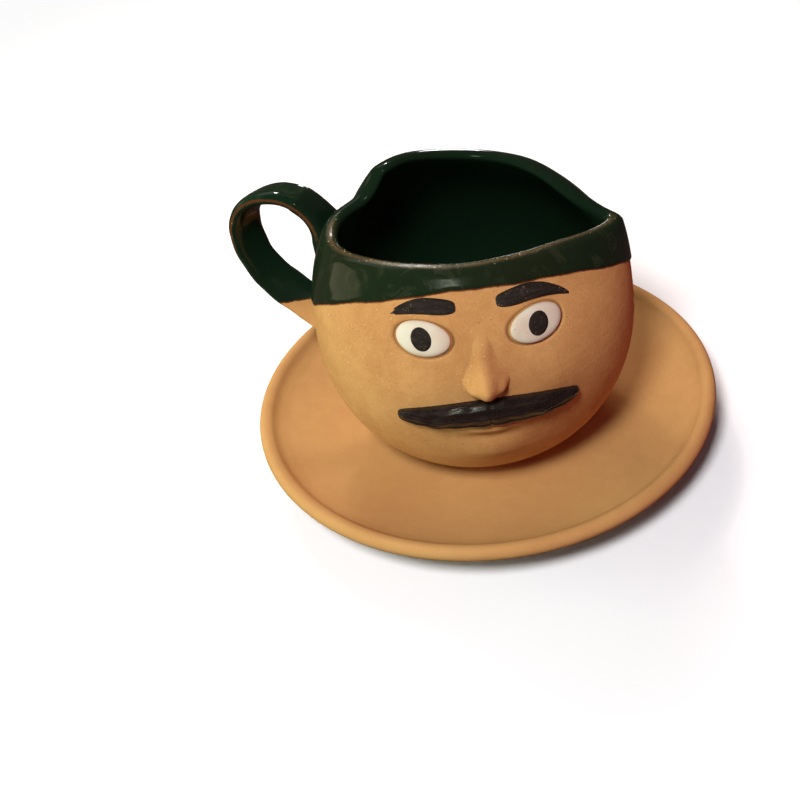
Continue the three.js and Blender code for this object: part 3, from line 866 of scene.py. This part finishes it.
# Skin on the wall from the dip line over the lip to the floor. At a distance d from that line its thickness
# is T (1 - exp(-d / edge)) (1 + roll exp(-((d - place) / width)^2)), less some on the lip, plus a sag.
def makeGlazeSkin(finish):
    g = glazeSkin
    angle = np.arange(g["columns"]) * 360 / g["columns"]
    turn = np.radians(angle)
    dipStep = dipSteps(angle)
    share = np.linspace(0, 1, g["bandRows"])[:, None] ** g["bandGather"]
    band = wallPoints(outerSide, angle, dipStep + share * (2 - dipStep))
    lip = lipPoints(angle, np.linspace(0, 1, g["lipRows"] + 1)[1:, None])
    inside = wallPoints(innerSide, angle, np.linspace(2, 0, g["insideRows"] + 1)[1:, None] + 0 * angle)
    base = np.concatenate([band, lip, inside])
    floor = np.array([0, 0, cup["floor"]])
    normal = ringNormals(base, wallPoints(outerSide, angle, dipStep - g["stepBelow"]), floor)
    travel = np.linalg.norm(np.diff(base, axis=0, prepend=base[:1]), axis=-1).cumsum(axis=0)
    fromCrest = travel - travel[len(band) + g["lipRows"] // 2 - 1]
    crestPlace, crestWidth = g["crest"]
    behindLow, behindHigh, behindTurn = g["behind"]
    behind = smoothStep(behindLow, behindHigh, np.sin(turn + behindTurn))
    thin = np.exp(-((fromCrest - crestPlace) / crestWidth) ** 2) * (g["thin"] + waves(turn, g["thinWander"]))
    thin *= 1 - g["behindThin"] * behind
    # painted shade: near black inside the cup and on the back rim
    deep = np.maximum(smoothStep(*g["insideShadeFrom"], fromCrest), g["backRimShade"] * behind)
    rollShare, rollPlace, rollWidth = g["roll"]
    roll = 1 + rollShare * np.exp(-((travel - rollPlace) / rollWidth) ** 2)
    thick = g["thickness"] * (1 - np.exp(-travel / g["edgeLength"])) * roll
    sag = waves(turn, [g["sag"]]) * np.sin(travel / g["sagLength"]) * smoothStep(*g["sagFrom"], travel)
    skin = base + normal * (thick * (1 - g["thinLoss"] * thin) + sag)[..., None]
    rows = np.linspace(0, len(base) - 1, g["backRows"]).round().astype(int)
    back = base[rows][::-1] - normal[rows][::-1] * g["sunk"]
    rings = np.concatenate([back, skin])
    nothing = np.zeros(back.shape[:2])
    marks = {
        "thin": np.concatenate([nothing, thin]),
        "deep": np.concatenate([nothing, deep]),
        "edge": np.concatenate([nothing + 1, np.exp(-(travel / g["rustWidth"]) ** 2)]),
    }
    poles = floor - [0, 0, g["sunk"]], floor + [0, 0, g["thickness"]]
    addPiece("glaze_skin", "glaze_coat", rings, poles, finish, "green_glaze", marks=marks)


# Handle

strap = {
    "angle": 155.0, "width": 10.5, "thickness": 3.9,
    "twist": (-5.0, 46.0),  # at the upper and the lower end
    "points": [  # distance out from the ball and height above its widest part
        (-4.4, 13), (-1.6, 24.4), (4.7, 30.1), (14.5, 30.1), (21.6, 24.5),
        (23, 14.9), (19.1, 4.8), (9.6, -3.8), (-4.4, -12.5),
    ],
    "buried": 1.4,  # how far its middle goes into the wall
    "deepest": 2.6,  # no point of it goes deeper, so none shows inside
    "rootLength": 16.5, "rootSwell": 0.2, "rootSeam": (-0.9, 0.5),  # lump at the upper end, and its seam
    "pressReach": 2.6, "pressWidth": 0.25, "pressDepth": 0.45,  # swelling where it is pressed on the wall
    "flare": 0.3, "flarePower": 5,
    "corners": (0.62, 0.66),  # powers of the section's cosine and sine; 1 is an oval and 0 a rectangle
    "uneven": [(1 / 3.1, 0.02, 0.0), (1 / 1.3, 0.015, 2.0)],
    "rustWidth": 0.14, "rustPressed": 0.6, "rustLower": 0.45, "lowerFrom": (0.5, 0.65), "rustThin": 0.5,
    # painted shade: the lump at the upper root and the faces inside the loop are darkened
    "rootShade": 0.75, "innerShade": 0.9, "innerFrom": (-0.1, 0.5),  # darker on the lump and inside the loop
    "steps": 2000, "rings": 260, "sides": 72,
}


# Smooth curve through points: cubic pieces over the chord lengths whose slopes and bends agree at each point
def splineThrough(points, count):
    points = np.array(points, float)
    knots = np.concatenate([[0], np.cumsum(np.linalg.norm(np.diff(points, axis=0), axis=1))])
    gap = np.diff(knots)
    size = len(knots)
    system = np.eye(size)
    inner = np.arange(1, size - 1)
    system[inner, inner - 1] = gap[:-1]
    system[inner, inner] = 2 * (gap[:-1] + gap[1:])
    system[inner, inner + 1] = gap[1:]
    slope = np.diff(points, axis=0) / gap[:, None]
    bends = np.zeros_like(points)
    bends[1:-1] = 6 * (slope[1:] - slope[:-1])
    bends = np.linalg.solve(system, bends)
    at = np.linspace(0, knots[-1], count)
    piece = np.clip(np.searchsorted(knots, at, side="right") - 1, 0, size - 2)
    left = ((knots[piece + 1] - at) / gap[piece])[:, None]
    right = 1 - left
    span = (gap[piece] ** 2 / 6)[:, None]
    curve = left * points[piece] + right * points[piece + 1]
    return curve + span * ((left**3 - left) * bends[piece] + (right**3 - right) * bends[piece + 1])


# Flat rounded section (w cos^p, t sin^q) carried along the loop, turning about it, and swelling at both roots
def makeStrap(finish):
    h = strap
    outward = roundPoints(h["angle"], 1.0, 0.0)
    upward = np.array([0, 0, 1.0])
    sideways = -np.cross(outward, upward)
    path = splineThrough(h["points"], h["steps"])
    depth = wallRadius(outerSide, np.array(h["angle"]), cup["belly"] + path[:, 1]) - cup["ball"] - path[:, 0]
    kept = np.flatnonzero(depth < h["buried"])
    kept = np.linspace(kept[0], kept[-1], h["rings"]).round().astype(int)
    share = kept / (len(path) - 1)
    clear = -depth[kept]
    path = path[kept]
    run = np.linalg.norm(np.diff(path, axis=0, prepend=path[:1]), axis=1).cumsum()
    along = np.gradient(path, axis=0)
    along /= np.linalg.norm(along, axis=1, keepdims=True)
    centre = (cup["ball"] + path[:, :1]) * outward + (cup["belly"] + path[:, 1:]) * upward
    tangent = along[:, :1] * outward + along[:, 1:] * upward
    twist = np.radians(h["twist"][0] + (h["twist"][1] - h["twist"][0]) * share)[:, None]
    across = sideways * np.cos(twist) + np.cross(tangent, sideways) * np.sin(twist)
    through = np.cross(tangent, across)
    seamStart, seamEnd = h["rootSeam"]
    root = 1 - smoothStep(h["rootLength"] + seamStart, h["rootLength"] + seamEnd, run)
    pressed = np.exp(-(np.maximum(clear, 0) / h["pressReach"]) ** 2)
    flare = h["flare"] * np.abs(2 * share - 1) ** h["flarePower"]
    wide = h["width"] / 2 * (1 + flare + h["pressWidth"] * pressed)
    deep = h["thickness"] / 2 * (1 + h["rootSwell"] * root + h["pressDepth"] * pressed)
    turn = np.arange(h["sides"]) * fullTurn / h["sides"]
    flat = lambda value, power: np.sign(value) * np.abs(value) ** power
    x = flat(np.cos(turn), h["corners"][0]) * wide[:, None] * (1 + waves(run, h["uneven"]))[:, None]
    y = flat(np.sin(turn), h["corners"][1]) * deep[:, None]
    rings = centre[:, None] + across[:, None] * x[..., None] + through[:, None] * y[..., None]
    angle = np.degrees(np.arctan2(rings[..., 1], rings[..., 0]))
    radius = np.hypot(rings[..., 0], rings[..., 1])
    least = wallRadius(outerSide, angle, rings[..., 2]) - h["deepest"]
    rings[..., :2] *= np.maximum(1, least / radius)[..., None]
    edges = np.exp(-(np.sin(turn) / h["rustWidth"]) ** 2)
    worn = (1 - h["rustPressed"] * pressed) * (1 - h["rustLower"] * smoothStep(*h["lowerFrom"], share))
    rust = edges * worn[:, None]
    inward = centre.mean(axis=0) - centre
    inward /= np.linalg.norm(inward, axis=1, keepdims=True)
    inner = smoothStep(*h["innerFrom"], (through * inward).sum(axis=1)[:, None] * np.sin(turn))
    # painted shade on the root lump and inside the loop, carried in the deep mark
    paintedShade = np.maximum(h["rootShade"] * root[:, None], h["innerShade"] * inner)
    marks = {"thin": h["rustThin"] * rust, "rust": rust, "deep": paintedShade}
    poles = rings[0].mean(axis=0), rings[-1].mean(axis=0)
    addPiece("strap_handle", "handle", rings, poles, finish, "green_glaze", marks=marks)


# Pads pressed on the front

pad = {
    "underRows": 8, "underFrom": 0.15,  # rows below a pad, and the share of its size where they begin
    "topEnd": 0.02,  # share of a quarter turn at which the rows over its top end
    "strokeEnd": 0.02,  # share of half a turn left off at each end of a stroke
    "strokeRound": 0.25,  # power that rounds those ends
}


# Pad inside an outline: shares of the way from a centre to the outline, under the pad from its centre to its
# edge and back over its top, each lifted off the wall by a height that depends on the share and the place
def padRings(centre, outline, height, rows=26, sides=96):
    turn = np.arange(sides) * fullTurn / sides
    edge = np.stack(outline(turn), axis=-1)
    top = np.sin(np.linspace(1, pad["topEnd"], rows) * math.pi / 2)
    under = np.linspace(pad["underFrom"], 1, pad["underRows"])
    share = np.concatenate([under, top])[:, None]
    across = centre[0] + share * (edge[:, 0] - centre[0])
    up = centre[1] + share * (edge[:, 1] - centre[1])
    below = np.arange(len(share))[:, None] < len(under)
    lift = np.where(below, -face["sunk"], height(share, across, up))
    rings = onFront(across, up, lift)
    return rings, (rings[0].mean(axis=0), rings[-1].mean(axis=0)), np.broadcast_to(share, across.shape)


# Stroke along a bent middle line: at each share of its length a section from its upper to its lower edge,
# domed above the wall and sunk below it, with rounded ends; blunt squares off the inner one
def strokeRings(inner, length, middle, halfHeight, top, rows=120, sides=64, blunt=2):
    steps = np.linspace(pad["strokeEnd"], 1 - pad["strokeEnd"], rows)
    share = (1 - np.cos(steps * math.pi))[:, None] / 2
    ends = np.maximum(0, 1 - np.abs(2 * share - 1) ** np.where(share < 0.5, blunt, 2))
    ends **= pad["strokeRound"]
    turn = np.arange(sides) * fullTurn / sides
    offset = np.cos(turn)
    up = middle(share) + halfHeight(share) * ends * offset
    across = inner + length * share + 0 * turn
    over, below = np.maximum(0, np.sin(turn)), np.maximum(0, -np.sin(turn))
    lift = np.where(np.sin(turn) > 0, top(share, offset, over) * ends**2, -face["sunk"] * np.sqrt(below))
    rings = onFront(across, up, lift)
    return rings, (rings[0].mean(axis=0), rings[-1].mean(axis=0))


# The same rings on the other side of the face, turned round so that they still run anticlockwise
def mirrored(rings, poles):
    flip = np.array([-1, 1, 1])
    return rings[:, ::-1] * flip, [pole * flip for pole in poles]


# A left and a right copy of a piece that is drawn on the right
def addPair(name, node, rings, poles, finish, slot, marks=None):
    turned = {key: values[:, ::-1] for key, values in (marks or {}).items()}
    addPiece("right_" + name, "right_" + node, rings, poles, finish, slot, marks=marks)
    addPiece("left_" + name, "left_" + node, *mirrored(rings, poles), finish, slot, marks=turned)


eyes = {
    "edgePower": 5, "edgeRound": 0.45, "crown": 0.08,  # a flat dome that falls off at its edge
    "rim": (0.93, 1.0),  # shares of the size between which clay shows through
    "pupilStart": 0.9,  # share of the eye's relief that the pupil stands on
    "pupilPower": 4, "pupilRound": 0.5, "pupilRows": 16, "pupilSides": 64,
}


# Eye and pupil: ovals domed by (1 - s^p)^q, s being the share of the way out to the edge
def makeEyes(white, black):
    e = eyes
    centre = (face["eyeWidth"], eyeUp)

    def oval(wide, high):
        return lambda turn: (centre[0] + wide / 2 * np.cos(turn), centre[1] + high / 2 * np.sin(turn))

    def dome(share, across, up):
        crown = 1 + e["crown"] * (1 - share**2)
        return face["eyeRelief"] * (1 - share ** e["edgePower"]) ** e["edgeRound"] * crown

    def button(share, across, up):
        lowest = face["eyeRelief"] * e["pupilStart"]
        return lowest + face["pupilRelief"] * (1 - share ** e["pupilPower"]) ** e["pupilRound"]

    rings, poles, share = padRings(centre, oval(face["eyeWidth"], face["eyeHeight"]), dome)
    addPair("eye_slip", "eye", rings, poles, white, "white_slip", {"rim": smoothStep(*e["rim"], share)})
    dot = oval(face["pupil"], face["pupil"])
    rings, poles, share = padRings(centre, dot, button, e["pupilRows"], e["pupilSides"])
    addPair("pupil_dot", "pupil", rings, poles, black, "black_glaze")


brows = {"bend": 0.3, "taper": 0.7, "round": 0.55, "combHeight": 0.06, "combCount": 9, "combDrift": 2}


# Brow: a stroke that falls away by a square past its bend and narrows outwards, with a few combed ridges
def makeBrows(finish):
    b = brows
    past = lambda share: np.maximum(0, (share - b["bend"]) / (1 - b["bend"]))
    middle = lambda share: browUp - face["browFall"] * past(share) ** 2
    half = lambda share: face["browHeight"] / 2 * (1 - b["taper"] * share**2)

    def top(share, offset, over):
        comb = b["combHeight"] * np.cos(b["combCount"] * offset + b["combDrift"] * share)
        return face["browRelief"] * (over ** b["round"] + comb * over)

    rings, poles = strokeRings(face["browInner"], face["browLength"], middle, half, top)
    addPair("brow_stroke", "brow", rings, poles, finish, "black_glaze")


moustache = {
    "taper": 0.45, "round": 0.6, "blunt": 24,
    "combHeight": 0.055, "combCount": 9, "combWander": (1.5, 5), "fineComb": (0.4, 19, 4),
    "lumps": [(13, 0.05, 1.0), (29, 0.04, 3.0)],  # count along it, height, and its start or its slant
    "rows": 170, "sides": 120,
}


# Moustache: a thick stroke with long combed ridges, cosines across it that wander along it, and slow lumps
def makeMoustache(finish):
    m = moustache
    upper = noseUp - face["noseToMoustache"]
    middle = lambda share: upper - face["moustacheHeight"] / 2 - face["moustacheFall"] * share**2
    half = lambda share: face["moustacheHeight"] / 2 * (1 - m["taper"] * share**2)

    def top(share, offset, over):
        wander, wanderCount = m["combWander"]
        fine, fineCount, fineDrift = m["fineComb"]
        comb = np.cos(m["combCount"] * offset + wander * np.sin(wanderCount * share))
        comb = comb + fine * np.cos(fineCount * offset + fineDrift * share)
        (count, size, start), (slantCount, slantSize, slant) = m["lumps"]
        lumps = size * np.sin(count * share + start) + slantSize * np.sin(slantCount * share + slant * offset)
        return face["moustacheRelief"] * (over ** m["round"] * (1 + lumps) + m["combHeight"] * comb * over)

    stroke = (face["parting"], face["moustacheLength"], middle, half, top)
    rings, poles = strokeRings(*stroke, m["rows"], m["sides"], m["blunt"])
    addPair("moustache_wing", "moustache", rings, poles, finish, "black_glaze")


nose = {
    "tipRise": 0.24,  # share of the nose's length from its base up to the tip
    "tip": (3.7, (3.5, 3.3)),  # height and widths
    "bridge": (0.7, 1.9, 2.5),  # height at the top, how much more at the base, and width
    "wings": (2.0, (4.1, 2.4), (1.7, 2.1)),  # height, place from the middle of the base, and widths
    "nostrils": (-1.0, (2.3, 0.3), (1.0, 0.9)),
    "edgePower": 5, "edgeLift": 0.25, "edgeSink": 0.1,
    "breadth": 1.1, "narrow": 0.4, "narrowing": 0.34,  # outline: share of the width at the top, and how fast
    "below": 0.3, "overLength": 1.2,  # how far the outline goes past the base and the length
    "rows": 60, "sides": 160,
}


# Nose: bells for the tip, the bridge and the two wings, less two for the nostrils, fading out at its edge
def makeNose(finish):
    n = nose
    length = eyeUp - noseUp
    tip = (0.0, noseUp + n["tipRise"] * length)

    def outline(turn):
        rise = (1 + np.sin(turn)) / 2
        side = np.sign(np.cos(turn)) * np.sqrt(np.abs(np.cos(turn)))
        width = n["narrow"] + (1 - n["narrow"]) * np.exp(-(((rise - n["tipRise"]) / n["narrowing"]) ** 2))
        up = noseUp - n["below"] + (length + n["overLength"]) * rise
        return n["breadth"] * face["noseWidth"] / 2 * width * side, up

    def height(share, across, up):
        rise = np.clip(1 - (up - noseUp) / length, 0, 1)
        bridgeTop, bridgeMore, bridgeWidth = n["bridge"]
        tipHeight, tipWidth = n["tip"]
        form = tipHeight * bell(across, up, tip, tipWidth)
        form = form + (bridgeTop + bridgeMore * rise) * np.exp(-((across / bridgeWidth) ** 2))
        for size, (beside, above), width in (n["wings"], n["nostrils"]):
            form = form + size * bell(np.abs(across), up, (beside, noseUp + above), width)
        edge = share ** n["edgePower"]
        return (form + n["edgeLift"]) * (1 - edge) - n["edgeSink"] * edge

    rings, poles, share = padRings(tip, outline, height, n["rows"], n["sides"])
    nothing = np.zeros(rings.shape[:2])
    marks = {"halo": nothing, "groove": nothing}
    addPiece("nose_clay", "nose", rings, poles, finish, "terracotta", marks=marks)


cupClay = makeCupClay()
saucerClay = makeSaucerClay()
greenGlaze = makeGreenGlaze()
strapGlaze = makeStrapFinish(dipSlope, cup["stand"] + cup["belly"] + dip["sideRise"])
whiteSlip = makeWhiteSlip()
mattBlack = makeBlackSlip("matt_black", mattSlip)
glossBlack = makeBlackSlip("gloss_black", glossSlip)
print("finishes made")

makeSaucer(saucerClay)
makeClayBody(cupClay)
makeGlazeSkin(greenGlaze)
makeStrap(strapGlaze)
makeEyes(whiteSlip, mattBlack)
makeBrows(mattBlack)
makeMoustache(glossBlack)
makeNose(cupClay)


# Stage, light and camera, in metres

stage = {
    "floor": 6.0, "floorLines": 5, "floorLevel": -0.0002, "floorTone": (0.93, 0.895, 0.98),
    "floorFade": (0.16, 0.42),  # distances from the middle between which the lit floor turns evenly pale
    "floorPlain": {"Specular IOR Level": 0.1, "Roughness": 0.9, "Emission Strength": 1.0},
    "farTone": (0.96, 0.96, 0.96),
    "world": 0.07, "worldTint": (1.0, 0.62, 0.6, 1),
    "lampAim": (0, 0, 0.04),
}


# Floor: a square grid at the height of the table, lit near the cup and evenly pale further off
def makeFloor():
    count = stage["floorLines"]
    line = np.linspace(-stage["floor"] / 2, stage["floor"] / 2, count)
    x, y = np.meshgrid(line, line)
    points = np.stack([x, y, 0 * x + stage["floorLevel"]], axis=-1).reshape(-1, 3)
    corner = (np.arange(count - 1)[:, None] * count + np.arange(count - 1)).ravel()
    squares = np.stack([corner, corner + 1, corner + count + 1, corner + count], axis=-1)
    mesh = bpy.data.meshes.new("pale_floor")
    mesh.from_pydata(points.tolist(), [], squares.tolist())
    material, tree, shader, place = newMaterial("pale_floor", stage["floorPlain"])
    away = addNode(tree, "VectorMath", {0: place}, operation="LENGTH").outputs["Value"]
    far = ranged(tree, away, *stage["floorFade"])
    black = (0, 0, 0, 1)
    lit = mixed(tree, far, (*stage["floorTone"], 1), black)
    pale = mixed(tree, far, black, (*stage["farTone"], 1))
    fillInputs(tree, shader, {"Base Color": lit, "Emission Color": pale})
    mesh.materials.append(material)
    floor = bpy.data.objects.new("pale_floor", mesh)
    bpy.context.scene.collection.objects.link(floor)
    floor.visible_diffuse = floor.visible_glossy = False  # it throws no light back and shows in no gloss
    return floor


# Name, place, size, watts, tint, and whether it shows in gloss
lamps = [
    ("key", (-0.21, -0.546, 0.789), (0.22, 0.22), 8.7, (0.97, 1.0, 0.96), False),
    ("key_glint", (-0.199, -0.577, 0.768), (0.12, 0.12), 0.9, (0.95, 1.0, 0.8), True),
    ("back_window", (-0.137, 0.776, 0.571), (0.5, 0.35), 5.8, (1.0, 0.85, 0.7), False),
    ("back_panel", (-0.308, 0.66, 0.651), (0.5, 0.4), 0.4, (0.9, 1.0, 0.85), True),
    ("lip_glint", (-0.104, 0.741, 0.625), (0.07, 0.07), 1.3, (1.0, 1.0, 0.95), True),
    ("rim_glint", (0.099, 0.941, 0.123), (0.05, 0.12), 0.4, (0.95, 1.0, 1.0), True),
    ("left_fill", (-0.944, 0.066, 0.123), (0.4, 0.4), 6.9, (0.88, 1.0, 0.72), False),
    ("low_left", (-0.853, -0.416, 0.09), (0.3, 0.2), 2.6, (0.9, 1.0, 0.75), False),
    ("left_panel", (-0.67, 0.179, 0.137), (0.34, 0.3), 0.28, (1.0, 0.88, 0.58), True),
    ("warm_bounce", (0.828, -0.386, 0.302), (0.4, 0.4), 1.7, (1.0, 0.12, 0.18), False),
]
clayOnly = {"warm_bounce"}  # lamps that are kept off the floor


# Turn that points -Z from a place at an aim
def aimed(place, aim):
    return (Vector(aim) - place).to_track_quat("-Z", "Y")


def makeLamps(floor):
    offFloor = bpy.data.collections.new("off_floor")
    offFloor.objects.link(floor)
    offFloor.collection_objects[0].light_linking.link_state = "EXCLUDE"
    for name, place, size, watts, tint, gloss in lamps:
        light = bpy.data.lights.new(name, "AREA")
        light.shape = "RECTANGLE"
        light.size, light.size_y = size
        light.energy = watts
        light.color = tint
        holder = bpy.data.objects.new(name, light)
        holder.location = place
        holder.rotation_euler = aimed(holder.location, stage["lampAim"]).to_euler()
        holder.visible_glossy = gloss
        if name in clayOnly:
            holder.light_linking.receiver_collection = offFloor
        bpy.context.scene.collection.objects.link(holder)


# World: a weak warm fill for the light, and an even pale backdrop where the camera sees it
def makeWorld():
    world = bpy.data.worlds.new("room")
    world.use_nodes = True
    tree = world.node_tree
    tree.nodes.clear()
    fill = addNode(tree, "Background", {"Color": stage["worldTint"], "Strength": stage["world"]})
    backdrop = addNode(tree, "Background", {"Color": (*stage["farTone"], 1)})
    seen = addNode(tree, "LightPath").outputs["Is Camera Ray"]
    shown = addNode(tree, "MixShader", {0: seen, 1: fill.outputs[0], 2: backdrop.outputs[0]})
    addNode(tree, "OutputWorld", {"Surface": shown.outputs[0]})
    bpy.context.scene.world = world


camera = {
    "place": (-0.0070, -0.30567, 0.26810),
    "aim": (-0.02231, -0.03027, 0.040),
    "roll": -9.839,
    "lens": 62.32, "sensor": 36, "near": 0.01,
}


def makeCamera():
    data = bpy.data.cameras.new("camera")
    data.lens = camera["lens"]
    data.sensor_width = camera["sensor"]
    data.clip_start = camera["near"]
    holder = bpy.data.objects.new("camera", data)
    holder.location = camera["place"]
    roll = Quaternion((0, 0, 1), math.radians(camera["roll"]))
    holder.rotation_euler = (aimed(holder.location, camera["aim"]) @ roll).to_euler()
    bpy.context.scene.collection.objects.link(holder)
    bpy.context.scene.camera = holder


makeLamps(makeFloor())
makeWorld()
makeCamera()
bpy.context.scene.view_settings.view_transform = "Standard"
print("stage, lamps and camera set")
